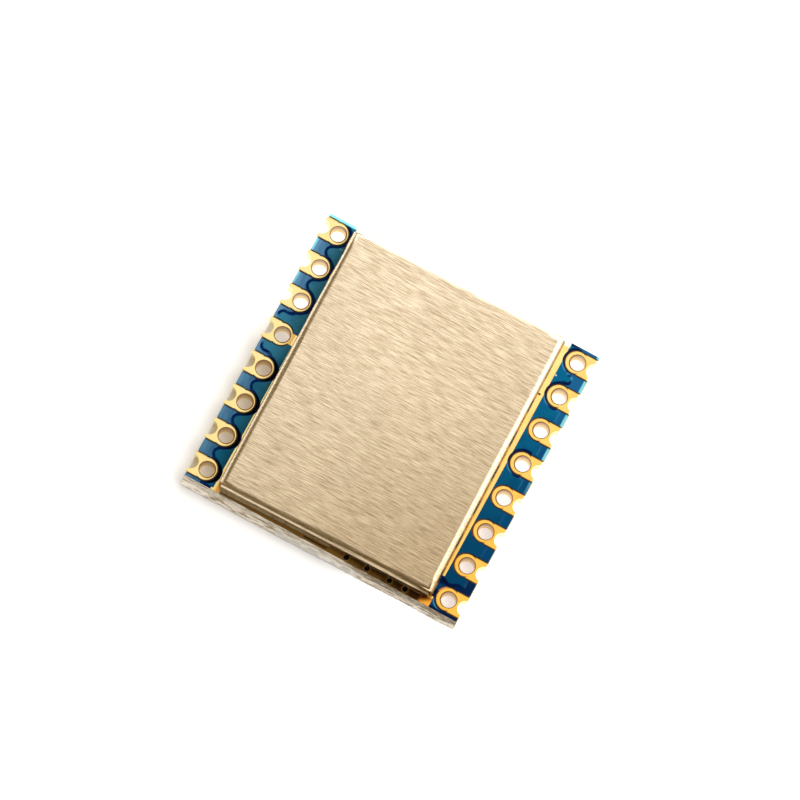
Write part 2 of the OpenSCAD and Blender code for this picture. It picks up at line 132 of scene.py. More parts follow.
def linear(red, green, blue):
    """A colour read off as 0 to 255, as Blender's linear values."""
    return tuple(
        v / 12.92 if v <= 0.04045 else ((v + 0.055) / 1.055) ** 2.4
        for v in (red / 255, green / 255, blue / 255)
    )


def times(colour, factors):
    """A colour with each channel multiplied."""
    return tuple(channel * factor for channel, factor in zip(colour, factors))


# Settings

def size(name, text, default):
    """A length, in metres."""
    return FloatProperty(
        name=name, description=text, default=default, min=0.0, unit="LENGTH", subtype="DISTANCE", precision=5
    )


def tint(name, text, default):
    """A colour, in linear values."""
    return FloatVectorProperty(
        name=name, description=text, default=default, size=3, min=0.0, max=1.0, subtype="COLOR"
    )


class TerminalSettings(bpy.types.PropertyGroup):
    """Sizes and colour of the plated terminals."""

    hole_radius: size("Hole radius", "Radius inside the plated hole", 0.0004)
    notch_radius: size("Notch radius", "Radius inside the half-round notch at the edge", 0.0004)
    plating: size("Plating", "Thickness of the plated walls", 0.00003)
    ring_radius: size("Ring radius", "Radius of the ring round the hole", RING / MM)
    tab_width: size("Tab width", "Width of the tab that runs out to the edge", 2 * HALF_TAB / MM)
    tab_start: size("Tab start", "Distance from the ring's middle to the tab", TAB_START / MM)
    edge_round: size("Edge rounding", "Rounding of the etched copper edges", 0.000012)
    colour: tint("Gold", "Colour of the gold plating", linear(255, 236, 166))


class BoardSettings(bpy.types.PropertyGroup):
    """Sizes and colours of the laminate and its solder mask."""

    score_depth: size("Score depth", "Depth of the grooves along the front and back edges", 0.00036)
    roughness: size("Snapped roughness", "Height of the torn fibres on the snapped edges", 0.00009)
    mask_low: size("Mask on laminate", "Thickness of the mask over bare laminate", 0.00002)
    mask_high: size("Mask on copper", "Height of the mask over copper", 0.000052)
    drape: size("Drape width", "Width of the slope where the mask runs down off the copper", 0.00013)
    cell: size("Mask grid", "Spacing of the points of the mask's surface", 0.00004)
    over_copper: tint("Mask over copper", "Colour of the mask over copper", linear(46, 112, 140))
    over_laminate: tint("Mask over laminate", "Colour of the mask over bare laminate", linear(58, 108, 148))
    # Also the colour of the painted shade on the film's darkest slopes
    pooled_and_shaded: tint("Pooled mask", "Colour of the mask where it pools beside copper", linear(0, 3, 12))
    laminate: tint("Laminate", "Colour of the bare laminate", linear(244, 236, 222))


class ShieldSettings(bpy.types.PropertyGroup):
    """Sizes and colour of the folded shield and its solder."""

    sheet: size("Sheet", "Thickness of the shield's sheet", 0.00015)
    bend_radius: size("Bend radius", "Outer radius of the folds", 0.00037)
    relief: size("Relief", "Size of the open notch at each corner", 0.00018)
    width: size("Width", "Width of the shield", 0.01223)
    length: size("Length", "Length of the shield", 0.01508)
    turn: FloatProperty(
        name="Turn", description="How far the soldered shield sits turned", default=math.radians(0.8),
        subtype="ANGLE",
    )
    bow: size("Bow", "Unevenness of the stamped sheet", 0.00002)
    bend_steps: IntProperty(name="Bend steps", description="Faces round each fold", default=9, min=3)
    colour: tint("Shield", "Colour of the nickel silver sheet", linear(234, 216, 188))
    solder: tint("Solder", "Colour of the solder", linear(172, 154, 122))


class StageSettings(bpy.types.PropertyGroup):
    """Camera and floor."""

    place: FloatVectorProperty(
        name="Camera place", description="Where the camera stands", size=3, subtype="TRANSLATION",
        unit="LENGTH", default=(0.0136193, -0.048121, 0.2631472),
    )
    aim: FloatVectorProperty(
        name="Camera angles", description="How the camera is turned", size=3, subtype="EULER",
        default=(math.radians(10.7229), math.radians(-2.4563), math.radians(28.3748)),
    )
    lens: FloatProperty(name="Lens", description="Focal length of the lens", default=234.708, unit="CAMERA")
    floor: tint("Floor", "Colour of the floor", (0.86, 0.86, 0.86))


# Modelling by hand, in millimetres

def fresh():
    """Leaves edit mode and deselects everything."""
    active = bpy.context.view_layer.objects.active
    if active and active.mode != "OBJECT":
        bpy.ops.object.mode_set(mode="OBJECT")
    bpy.ops.object.select_all(action="DESELECT")


def hold(piece, *others):
    """Selects a piece, and any others with it, and makes it the active one."""
    fresh()
    for each in (piece, *others):
        each.select_set(True)
    bpy.context.view_layer.objects.active = piece


def added(name, data):
    """A new object in the scene."""
    made = bpy.data.objects.new(name, data)
    bpy.context.scene.collection.objects.link(made)
    return made


def placed(piece=None):
    """Puts the place, turn and size of a piece, or of a new primitive, into its mesh."""
    if piece:
        hold(piece)
    bpy.ops.object.transform_apply(location=True, rotation=True, scale=True)
    return bpy.context.active_object


def block(low, high):
    """A box between two corners."""
    low, high = Vector(low), Vector(high)
    fresh()
    bpy.ops.mesh.primitive_cube_add(size=1, location=(low + high) / 2, scale=high - low)
    return placed()


def drum(radius, low, high, x=0.0, y=0.0, sides=64):
    """An upright cylinder."""
    fresh()
    bpy.ops.mesh.primitive_cylinder_add(
        vertices=sides, radius=radius, depth=high - low, location=(x, y, (low + high) / 2)
    )
    return placed()


def flat_sheet(middle_x, wide, long, height, across, down):
    """A flat sheet of even cells, centred on the module's length."""
    fresh()
    bpy.ops.mesh.primitive_grid_add(
        x_subdivisions=across, y_subdivisions=down, size=1, location=(middle_x, 0, height)
    )
    bpy.context.active_object.scale = (wide, long, 1)
    return placed()


def edit(piece, action="DESELECT"):
    """Opens a piece in edit mode with nothing, or everything, selected."""
    hold(piece)
    bpy.ops.object.mode_set(mode="EDIT")
    bpy.ops.mesh.select_all(action=action)


def choose(piece, kind, test):
    """Selects, in edit mode, the faces or edges that pass a test of their middle and themselves."""
    bpy.ops.mesh.select_mode(type=kind)
    bpy.ops.mesh.select_all(action="DESELECT")
    mesh = bmesh.from_edit_mesh(piece.data)
    mesh.select_mode = {kind}
    for part in {"EDGE": mesh.edges, "FACE": mesh.faces}[kind]:
        middle = sum((p.co for p in part.verts), Vector()) / len(part.verts)
        if test(middle, part):
            part.select_set(True)
    mesh.select_flush_mode()
    bmesh.update_edit_mesh(piece.data)


def split(place, normal, **settings):
    """Cuts through the whole piece in edit mode along a plane."""
    bpy.ops.mesh.select_all(action="SELECT")
    bpy.ops.mesh.bisect(plane_co=place, plane_no=normal, **settings)


def slice_at(values, axis):
    """Cuts edge lines across the piece in edit mode at each value along an axis."""
    normal = [0.0, 0.0, 0.0]
    normal[axis] = 1.0
    for value in values:
        split([value * n for n in normal], normal)


def trim(piece, left, right):
    """Cuts away what lies beyond two places across the module's width."""
    edit(piece)
    for x, way in ((left, -1), (right, 1)):
        split((x, 0, 0), (way, 0, 0), clear_outer=True, use_fill=True)
    fresh()
    return piece


def modify(piece, kind, **settings):
    """Adds a modifier with its settings and applies it."""
    hold(piece)
    made = piece.modifiers.new(kind.title(), kind)
    for key, value in settings.items():
        setattr(made, key, value)
    bpy.ops.object.modifier_apply(modifier=made.name)
    return piece


def together(pieces):
    """Joins separate pieces into one mesh."""
    hold(*pieces)
    if len(pieces) > 1:
        bpy.ops.object.join()
    return pieces[0]


def combine(piece, tools, operation):
    """Fuses tools with a piece, or cuts them from it, one by one, and removes the tools."""
    for tool in tools:
        modify(piece, "BOOLEAN", object=tool, operation=operation, solver="MANIFOLD")
        bpy.data.objects.remove(tool)
    return piece


def fuse(piece, *tools):
    return combine(piece, tools, "UNION")


def cut(piece, *tools):
    return combine(piece, tools, "DIFFERENCE")


def weld(piece):
    """Merges doubled points and drops needless edges on flat faces."""
    edit(piece, "SELECT")
    bpy.ops.mesh.remove_doubles(threshold=0.0004)
    bpy.ops.mesh.dissolve_limited(angle_limit=math.radians(0.5))
    fresh()
    return piece


def soften(piece, width, segments=2, angle=40):
    """Rounds the sharp edges."""
    return modify(
        piece, "BEVEL", width=width, segments=segments, limit_method="ANGLE", angle_limit=math.radians(angle)
    )


def weigh(piece, name, weight):
    """Gives a piece's points a group, with a weight that is worked out from each point's place."""
    group = piece.vertex_groups.new(name=name)
    for point in piece.data.vertices:
        share = weight(point.co)
        if share > 0:
            group.add([point.index], min(1.0, share), "REPLACE")


def ruffle(piece, name, group, direction, scale, strength, depth):
    """Pushes a group of points out and in by a cloudy pattern."""
    clouds = bpy.data.textures.new(name, "CLOUDS")
    clouds.noise_scale = scale
    clouds.noise_depth = depth
    modify(
        piece, "DISPLACE", texture=clouds, texture_coords="LOCAL", direction=direction, vertex_group=group,
        strength=strength, mid_level=0.5,
    )


def points_of(piece):
    """The places of a piece's points, one in each row."""
    points = np.empty(len(piece.data.vertices) * 3)
    piece.data.vertices.foreach_get("co", points)
    return points.reshape(-1, 3)


def ring_tools(side, radius, low, high):
    """Upright cylinders round the signal rings of one row, as one tool."""
    places = [terminal_at(i) for i in SIGNAL_TERMINALS if side_of(i) == side]
    return together([drum(radius, low, high, x - ART, y, FINE) for x, y in places])


def traced(node):
    """A merged copy of a CAD solid, in millimetres."""
    fresh()
    piece = added(node + "_form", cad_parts[node].data.copy())
    piece.scale = (MM, MM, MM)
    placed(piece)
    bpy.ops.mesh.customdata_custom_splitnormals_clear()
    piece.data.materials.clear()
    return weld(piece)


def settle(piece, name, nodes, material, angle=35, flats=False):
    """Brings a finished piece to metres, smooths it, and lets it stand for its CAD nodes."""
    hold(piece)
    piece.name = name
    piece.data.name = name
    bpy.ops.object.shade_smooth_by_angle(angle=math.radians(angle))
    if flats:
        modify(piece, "WEIGHTED_NORMAL", weight=100, thresh=0.0, keep_sharp=True)
    piece.scale = (1 / MM, 1 / MM, 1 / MM)
    placed()
    piece.data.materials.clear()
    piece.data.materials.append(material)
    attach(piece, "root")
    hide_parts(*nodes)
    fresh()


def dress(node, material):
    """Gives a CAD node that keeps its shape a finished material."""
    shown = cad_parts[node]
    for each in shown.material_slots:
        each.material = material


# Outlines of the copper, as distances in millimetres, negative inside

def disc(x, y, at_x, at_y, radius):
    return np.hypot(x - at_x, y - at_y) - radius


def plate(x, y, low_x, high_x, low_y, high_y):
    out_x = np.maximum(low_x - x, x - high_x)
    out_y = np.maximum(low_y - y, y - high_y)
    outside = np.hypot(np.maximum(out_x, 0), np.maximum(out_y, 0))
    return outside + np.minimum(np.maximum(out_x, out_y), 0)


def joined(a, b, blend):
    """The union of two outlines, with an etched rounding where they meet."""
    share = np.clip(0.5 + 0.5 * (b - a) / blend, 0, 1)
    return b * (1 - share) + a * share - blend * share * (1 - share)


def without(a, b, blend):
    """The first outline without the second, with an etched rounding where they meet."""
    return -joined(-a, b, blend)


def pad_edge(x, y, i, grown=0.0):
    """Distance to the pad of a terminal: its ring, and the tab that runs out to the edge."""
    at_x, at_y = terminal_at(i)
    side = side_of(i)
    out = (x - at_x) * side
    across = y - at_y
    half = HALF_TAB + grown
    round_part = np.hypot(out + side * ART, across) - (RING + grown)
    tab_part = plate(out, across, TAB_START - side * ART, PITCH, -half, half)
    return np.minimum(round_part, tab_part)


def copper_edge(x, y):
    """Distance to the copper under the upper mask."""
    pour_half, setback, clear, etched = 6.83, 0.1, 0.16, 0.05
    lobes = {-1: (0.02, 0.22), 1: (0.18, 0.18)}
    wide_lobe, lobe_round = 0.12, 0.13
    tip_blend, lobe_blend, area_blend = 0.16, 0.12, 0.34
    copper = plate(x, y, -pour_half - ART, pour_half - ART, -FACE_HALF + setback, FACE_HALF - setback)
    # Lobes reach out between each terminal and the next one of its row
    for i in TERMINALS:
        if i in (ROWS, 2 * ROWS):
            continue
        at_x, at_y = terminal_at(i)
        side = side_of(i)
        across = y - (at_y + side * PITCH / 2)
        out = (x - at_x) * side + side * ART
        reach, tip = lobes[side]
        if i in SIGNAL_TERMINALS and i + 1 in SIGNAL_TERMINALS:
            copper = joined(copper, disc(out, across, reach - tip, 0, tip), tip_blend)
        elif side > 0:
            half = PITCH / 2 - lobe_round
            lobe = plate(out, across, -0.4, reach + wide_lobe, -half, half) - lobe_round
            copper = joined(copper, lobe, lobe_blend)
    # The pour spreads round the terminal that the web joins to it
    at_x, at_y = terminal_at(WEB_TERMINAL)
    area = plate(x, y, at_x - 0.44, at_x + 0.3, at_y - 0.9, at_y + 0.9) - 0.2
    copper = joined(copper, area, area_blend)
    for i in SIGNAL_TERMINALS:
        copper = without(copper, pad_edge(x, y, i, clear), etched)
    dip = 0.2 * np.exp(-((x - 6.62) / 0.28) ** 2)
    top = TRACE_Y + 0.58 - dip
    copper = without(copper, np.maximum(np.maximum(TRACE_Y - TRACE_GAP - y, y - top), -x), etched)
    trace = plate(x, y, 3, ROW_X, TRACE_Y - TRACE_HALF, TRACE_Y + TRACE_HALF)
    return np.minimum(copper, trace)


def rounded_step(value):
    """0 to 1 with a soft start and end."""
    t = np.clip(value, 0, 1)
    return t * t * (3 - 2 * t)


def pools_and_shade_beside_rings(x, y):
    """How dark the mask is beside the signal rings, where it pools and where shade is painted, and the
    distance to the nearest of their pads.
    """
    pooled_and_shaded = np.zeros(len(x))
    nearest = np.full(len(x), 9.0)
    for i, depth in POOL_AND_SHADE_DEPTHS.items():
        near = pad_edge(x, y, i)
        at_x, at_y = terminal_at(i)
        inward = (at_x - ART - x) * side_of(i) / np.maximum(np.hypot(x - at_x + ART, y - at_y), 0.1)
        widest = 0.2 if side_of(i) < 0 else 0.06
        wide = 0.1 + widest * np.clip(inward, 0, 1) ** 1.5
        dark = rounded_step((wide - near) / 0.06) * rounded_step((inward + 0.5) / 0.5) * depth
        pooled_and_shaded = np.maximum(pooled_and_shaded, dark)
        nearest = np.minimum(nearest, near)
    return pooled_and_shaded, nearest


def film_values(x, y):
    """What the mask's finish reads at each point: lift over copper, pooling and painted shade, painted
    highlights on crests and painted light on the rims.
    """
    gap = copper_edge(x, y)
    step = 0.01
    down_x = (copper_edge(x + step, y) - copper_edge(x - step, y)) / (2 * step)
    down_y = (copper_edge(x, y + step) - copper_edge(x, y - step)) / (2 * step)
    lift = rounded_step((0.06 - gap) / 0.07)
    beside, ring = pools_and_shade_beside_rings(x, y)
    near_ring = rounded_step((0.75 - ring) / 0.3)

    # Slopes off the copper that face away from the light
    slope = rounded_step((0.1 - np.abs(gap - 0.05)) / 0.05) * near_ring
    slope *= np.where(x > 0, rounded_step((7.24 - x) / 0.12), 1)
    shaded = np.maximum(down_y * 0.75 - down_x * 0.65, down_x * 0.6 - down_y * 0.8)
    shaded = np.maximum(shaded, -0.5 * (down_x + down_y))
    pool_and_shade = np.maximum(beside, slope * np.clip(shaded * 1.3 - 0.25, 0, 0.72))

    # Painted shade: a dark line along the copper's edge on the left, fainter beside the web's terminal
    line = rounded_step((0.08 - np.abs(gap - 0.03)) / 0.045) * rounded_step((x + 7.72) / 0.5) * (x < 0)
    line *= np.clip(0.62 + 0.6 * down_y - 0.3 * down_x, 0.25, 1)
    faint = rounded_step((1.3 - np.abs(y - terminal_at(WEB_TERMINAL)[1])) / 0.2)
    line *= 1 - faint * (0.48 + 0.3 * rounded_step((-6.9 - x) / 0.5))
    pool_and_shade = np.maximum(pool_and_shade, line * 0.62)

    # The bare laminate on both sides of the trace
    opening = rounded_step((0.62 - np.abs(y - TRACE_Y)) / 0.06) * rounded_step((7.2 - x) / 0.3) * (x > 5)
    pool_and_shade = np.clip(np.maximum(pool_and_shade, opening * (1 - lift) * 0.8), 0, 1)

    # Painted highlights on the right, on the crests where the film turns down off the copper
    crest = rounded_step((0.05 - np.abs(gap - 0.03)) / 0.03) * near_ring
    painted_ridge_highlight = crest * np.clip((down_x + down_y) * 1.2 - 0.6, 0, 1) * (x > 0)
    painted_ridge_highlight *= 1 - 0.75 * rounded_step((x - 7.16) / 0.12)

    # Painted light on rims along the film's outer edges, towards the back
    away = np.where(x > 0, FILM_END[1] - x, FILM_END[-1] + x)
    right_rim = rounded_step((0.15 - away) / 0.04) * rounded_step((y + 1.2) / 3.5) * (x > 0)
    left_rim = rounded_step((0.14 - away) / 0.05) * rounded_step((y - 2.5) / 2.5) * (x < 0) * 0.8
    back_rim = rounded_step((y - FACE_HALF + 0.17) / 0.04) * (x < 0)
    painted_rim_shading = np.maximum(np.maximum(right_rim, left_rim), back_rim)
    return {"lift": lift, "pool_and_shade": pool_and_shade, "painted_ridge_highlight": painted_ridge_highlight, "painted_rim_shading": painted_rim_shading}


# Materials

class Value:
    """A socket, with the operators of ordinary sums."""

    def __init__(self, nodes, socket):
        self.nodes = nodes
        self.socket = socket

    def sum(self, operation, *others):
        """A Math node on this value and any others."""
        return self.nodes.node("ShaderNodeMath", {"operation": operation}, dict(enumerate((self, *others))))

    def swapped(self, operation, other):
        """A Math node on another value and this one."""
        return self.nodes.node("ShaderNodeMath", {"operation": operation}, {0: other, 1: self})

    def __add__(self, other):
        return self.sum("ADD", other)

    def __radd__(self, other):
        return self.swapped("ADD", other)

    def __sub__(self, other):
        return self.sum("SUBTRACT", other)

    def __rsub__(self, other):
        return self.swapped("SUBTRACT", other)

    def __mul__(self, other):
        return self.sum("MULTIPLY", other)

    def __rmul__(self, other):
        return self.swapped("MULTIPLY", other)

    def __pow__(self, other):
        return self.sum("POWER", other)

    def __neg__(self):
        return self.sum("MULTIPLY", -1)

    def __abs__(self):
        return self.sum("ABSOLUTE")


class Nodes:
    """The nodes of a material or of the world."""

    def __init__(self, tree):
        self.tree = tree

    def node(self, kind, settings=None, inputs=None, output=0):
        """A node of a type, with its settings, then the values or links of its sockets."""
        made = self.tree.nodes.new(kind)
        for key, value in (settings or {}).items():
            setattr(made, key, value)
        for key, value in (inputs or {}).items():
            self.feed(made.inputs[key], value)
        return Value(self, made.outputs[output])

    def feed(self, socket, value):
        """Links a value to a socket, or sets a number, colour or vector there."""
        if isinstance(value, Value):
            self.tree.links.new(value.socket, socket)
        else:
            socket.default_value = value

    def between(self, value, low, high):
        """0 below low, 1 above high, and a soft step between them."""
        return self.node(
            "ShaderNodeMapRange", {"interpolation_type": "SMOOTHSTEP"},
            {"Value": value, "From Min": low, "From Max": high},
        )

    def below(self, value, low, high):
        """1 below low, 0 above high, and a soft step between them."""
        return 1 - self.between(value, low, high)

    def band(self, value, start, full, turn, end):
        """0 to 1 from start to full, and back to 0 from turn to end."""
        return self.between(value, start, full) * self.below(value, turn, end)

    def mix(self, a, b, share, blend="MIX"):
        """A colour between two colours."""
        def full(colour):
            return colour if isinstance(colour, Value) else (*colour[:3], 1.0)

        return self.node(
            "ShaderNodeMix", {"data_type": "RGBA", "blend_type": blend},
            {0: share, 6: full(a), 7: full(b)}, 2,
        )

    def layered(self, base, *layers):
        """A colour under layers, each a colour, its share and perhaps how it blends."""
        for layer in layers:
            base = self.mix(base, *layer)
        return base


class Finish(Nodes):
    """A procedural material in the making. Its coordinates are the object's own, in millimetres."""

    def __init__(self, name):
        self.material = bpy.data.materials.new(name)
        self.material.use_nodes = True
        super().__init__(self.material.node_tree)
        self.shader = self.tree.nodes["Principled BSDF"]
        own = self.node("ShaderNodeTexCoord", output="Object")
        self.place = self.stretched((MM, MM, MM), vector=own)

    def along(self, axis):
        """The place along one axis."""
        return self.node("ShaderNodeSeparateXYZ", inputs={0: self.place}, output=axis)

    @cached_property
    def x(self):
        return self.along("X")

    @cached_property
    def y(self):
        return self.along("Y")

    @cached_property
    def z(self):
        return self.along("Z")

    def stretched(self, scale, turn=0.0, vector=None):
        """Coordinates scaled, and turned about the upright axis."""
        inputs = {"Vector": vector or self.place, "Scale": scale, "Rotation": (0, 0, turn)}
        return self.node("ShaderNodeMapping", inputs=inputs)

    def noise(self, scale, detail, rough=0.55, vector=None):
        """Cloudy variation between 0 and 1, with a scale per millimetre."""
        return self.node(
            "ShaderNodeTexNoise",
            inputs={"Vector": vector or self.place, "Scale": scale, "Detail": detail, "Roughness": rough},
        )

    def drawn_out(self, scales, detail, rough, turn=0.0):
        """Cloudy variation with its own scale per millimetre along each axis."""
        return self.noise(1.0, detail, rough, self.stretched(scales, turn))

    def spot(self, x, y, radius, soft):
        """1 inside a round spot seen from above, 0 outside."""
        flat = self.node(
            "ShaderNodeVectorMath", {"operation": "MULTIPLY"}, {0: self.place, 1: (1.0, 1.0, 0.0)}
        )
        far = self.node(
            "ShaderNodeVectorMath", {"operation": "DISTANCE"}, {0: flat, 1: (x, y, 0.0)}, "Value"
        )
        return self.below(far, radius - soft, radius + soft)

    def held(self, name):
        """A value kept on the piece's points."""
        return self.node("ShaderNodeAttribute", {"attribute_name": name}, output="Fac")

    def bump(self, height, depth):
        """A normal raised by a height, whose full depth is in millimetres."""
        return self.node("ShaderNodeBump", inputs={"Height": height, "Distance": depth / MM, "Strength": 1.0})

    def set(self, **inputs):
        """Feeds the shader's sockets, named with _ for spaces."""
        for key, value in inputs.items():
            self.feed(self.shader.inputs[key.replace("_", " ")], value)
        return self.material


def plated_gold(name, colour, deepening):
    """Gold over etched copper, deeper at the front right: the finish, its shade and its roughness."""
    f = Finish(name)
    cloud = f.noise(1.1, 3.0)
    grain = f.noise(34.0, 2.0, 0.6)
    front_right_darkening = f.between(f.x * 0.75 - f.y * 0.4 + cloud * 3.0, -4.5, 11.0)
    dirt = f.spot(*DARK_SPECK, 0.065, 0.025)
    shade = f.layered(
        colour,
        (linear(248, 186, 76), front_right_darkening * deepening),
        ((0.9, 0.8, 0.62), f.between(cloud, 0.48, 0.72) * 0.35, "MULTIPLY"),
        (linear(34, 24, 12), dirt * 0.95),
    )
    rough = 0.2 + cloud * 0.08 + grain * 0.06 + dirt * 0.3
    f.set(Metallic=1.0, Normal=f.bump(grain + cloud * 0.4, 0.0003))
    return f, shade, rough


def terminal_gold(colour):
    """Gold of the terminals, with painted shade that browns the pads' rims, the lips of the holes and the
    tops of the barrels, a deeper gold lower down the barrels, and a painted highlight that whitens the right
    row's tab ends.
    """
    f, shade, rough = plated_gold("gold plating", colour, 1.0)
    beside = abs(f.x)
    # Distances from the middle of the nearest hole, out to the edge and along the row
    out = beside - ROW_X
    across = PITCH / 2 - f.y.sum("PINGPONG", PITCH / 2)
    far = (out ** 2 + across ** 2) ** 0.5
    lip_radius = 0.442 + 0.025 * f.between(-out, -0.1, 0.3)
    # Painted shade at the lip of each hole
    painted_lip_shade = f.below(far - lip_radius, -0.015, 0.015) * f.between(f.z, Z_PAD - 0.05, Z_PAD - 0.03)
    ring = RING - ((out + f.x.sum("SIGN") * ART) ** 2 + across ** 2) ** 0.5
    tab = (HALF_TAB - across).sum("MINIMUM", out - 0.2)
    inside = ring.sum("MAXIMUM", tab)
    web = f.below(inside, -0.05, -0.02)
    # Painted shade along the edges of the pads, except on the web
    painted_rim_shading = f.below(inside, 0.012, 0.05) * (1 - web)
    # Painted highlight that whitens the tab ends of the right row
    painted_tab_highlight = f.between(f.x + f.y * 0.006, 7.8, 7.9)
    # The barrel walls: painted shade just below the lip, a deeper gold lower down
    barrel = f.below(beside, 7.5, 7.56) * f.between(f.z, 0.06, 0.1)
    shade = f.layered(
        shade,
        (linear(138, 90, 26), painted_lip_shade),
        (linear(170, 114, 40), painted_rim_shading * 0.6),
        (linear(238, 162, 54), web * 0.85),
        (linear(255, 252, 238), painted_tab_highlight),
        (linear(158, 114, 40), barrel * f.below(f.z, Z_PAD - 0.06, Z_PAD - 0.02)),
        (linear(226, 188, 84), barrel * f.below(f.z, 0.5, 0.88)),
    )
    return f.set(Base_Color=shade, Roughness=rough)


def ground_gold(colour):
    """Gold of the ground frame, with painted shade: brown along the front strip in the shield's shade, a dark
    gap line, orange beside the shield's foot, dark at its front right corner; and a painted glare that
    whitens the back strip.
    """
    f, shade, rough = plated_gold("gold ground", colour, 0.84)
    front = -f.y
    # Painted shade and reflection of the shield on the front strip: brown, darker to the right and next to
    # the wall, paler round the vias
    strip_in_shade = f.between(front, 7.36, 7.46) * f.band(f.x, -6.0, -5.8, 5.6, 5.85)
    drift = f.between(f.x * 0.16 + f.noise(2.2, 2.0), 0.5, 1.4)
    under_wall = f.below(front, 7.5, 7.7) * f.between(f.x, 0.2, 2.0)
    painted_strip_shade = f.layered(
        linear(112, 82, 34),
        (linear(42, 15, 2), drift),
        ((0.45, 0.38, 0.3), under_wall, "MULTIPLY"),
        *((linear(150, 108, 38), f.spot(at, VIA_Y, 0.2, 0.03) * 0.45) for at in VIAS),
    )
    # Painted shadow of the gap under the front edge of the solder bead
    painted_gap_shadow = f.band(f.x, -1.08, -1.0, 0.27, 0.31) * f.band(front, 7.625, 7.645, 7.685, 7.705)
    foot = f.x + f.y * 0.014
    # Painted shade, orange, on the strips beside the shield's left and right feet
    left_foot = f.band(foot, -6.29, -6.22, -5.9, -5.8)
    right_foot = f.band(foot, 5.8, 5.9, 6.03, 6.08) * f.between(front, -3.0, 2.0)
    painted_foot_shade = (left_foot + right_foot) * f.band(f.y, -7.4, -7.3, 7.1, 7.3)
    # Painted shade at the front right corner: dark by the shield, orange further out
    glow_with_painted_shade = f.mix(linear(92, 40, 6), linear(240, 164, 56), f.between(f.x * 0.6 - f.y, 10.95, 11.35))
    right_corner = f.between(f.x, 5.5, 5.75) * f.between(front, 7.3, 7.42)
    left_corner = f.band(f.x, -6.25, -6.05, -5.95, -5.85) * f.between(front, 7.3, 7.45)
    shade = f.layered(
        linear(96, 58, 16),
        (shade, f.between(f.z, Z_FACE + 0.03, Z_FACE + 0.042)),
        (painted_strip_shade, strip_in_shade * 0.985),
        (linear(10, 6, 2), painted_gap_shadow),
        # Painted glare that whitens the back strip
        (linear(255, 252, 244), f.between(f.y, 7.45, 7.6)),
        (linear(206, 140, 52), painted_foot_shade * 0.85),
        (glow_with_painted_shade, right_corner),
        (linear(222, 150, 48), left_corner * 0.85),
    )
    return f.set(Base_Color=shade, Roughness=rough + strip_in_shade * 0.15)


def bare_copper(colour):
    """Copper that lies under the mask, seen only at its edges."""
    f = Finish("covered copper")
    grain = f.noise(26.0, 3.0)
    shade = f.mix(colour, linear(150, 92, 52), f.between(grain, 0.35, 0.7))
    return f.set(Base_Color=shade, Metallic=1.0, Roughness=0.34 + grain * 0.14, Normal=f.bump(grain, 0.0015))


def draped_mask(board):
    """Solder mask: blue film, teal over copper, paler over bare laminate, almost black where it pools and
    where shade is painted, with painted highlights on crests and painted light on the rims.
    """
    f = Finish("draped solder mask")
    pool_and_shade = f.held("pool_and_shade")
    cloud = f.noise(0.9, 3.0)
    fine = f.noise(16.0, 3.0, 0.6)
    weave = f.drawn_out((7.0, 1.6, 1.0), 2.0, 0.5)
    ahead = -f.y
    right = f.between(f.x, -3.0, 3.0)
    front = f.between(ahead, -7.5, 7.5)
    deepest = linear(0, 66, 104)
    left_copper = f.mix(board.over_copper, linear(14, 86, 116), f.between(ahead, -2.0, 7.0))
    copper = f.layered(
        left_copper,
        (f.mix(linear(6, 108, 152), deepest, front), right),
        (deepest, f.between(cloud, 0.45, 0.7) * 0.5),
    )
    edge = f.between(-f.x, 7.2, 7.9)
    pale = f.layered(
        board.over_laminate,
        (linear(98, 146, 180), edge * 0.7 + f.between(weave, 0.4, 0.62) * 0.3),
        ((0.62, 0.66, 0.66), front, "MULTIPLY"),
    )
    dusk = f.layered(
        linear(30, 104, 158),
        (linear(2, 76, 122), f.between(ahead, -6.5, 0.0)),
        (linear(2, 28, 74), f.between(ahead, 3.0, 6.8)),
    )
    scratch = f.between(f.drawn_out((2.0, 22.0, 1.0), 1.0, 0.4, turn=0.6), 0.66, 0.7)
    shade = f.layered(
        pale,
        (dusk, right),
        (copper, f.held("lift")),
        # Painted highlights on the crests
        (linear(70, 146, 186), f.held("painted_ridge_highlight")),
        # Navy to almost black where the film pools and where shade is painted
        (linear(0, 34, 84), f.between(pool_and_shade, 0.0, 0.6)),
        (board.pooled_and_shaded, f.between(pool_and_shade, 0.6, 0.95)),
        # Painted light on the rims
        (linear(140, 232, 244), f.held("painted_rim_shading")),
        (linear(150, 186, 204), scratch * f.spot(*SCRATCH, 0.34, 0.2) * 0.6),
        (linear(236, 246, 250), f.spot(*WHITE_SPECK, 0.045, 0.02)),
        ((0.7, 0.7, 0.7), right, "MULTIPLY"),
    )
    return f.set(
        Base_Color=shade, Roughness=0.16 + fine * 0.08 + cloud * 0.06, Specular_IOR_Level=0.025,
        Normal=f.bump(fine + cloud, 0.0015),
    )


def plain_mask(board):
    """Mask on the underside: the same film on flat laminate and copper."""
    f = Finish("plain solder mask")
    cloud = f.noise(0.7, 3.0)
    fine = f.noise(15.0, 3.0, 0.6)
    shade = f.layered(
        board.over_copper,
        (linear(8, 70, 118), f.between(cloud, 0.35, 0.7)),
        (linear(40, 126, 166), f.between(fine, 0.6, 0.8) * 0.25),
    )
    return f.set(
        Base_Color=shade, Roughness=0.22 + fine * 0.12, Coat_Weight=0.25 + cloud * 0.1, Coat_Roughness=0.12,
        Normal=f.bump(fine + cloud, 0.002),
    )


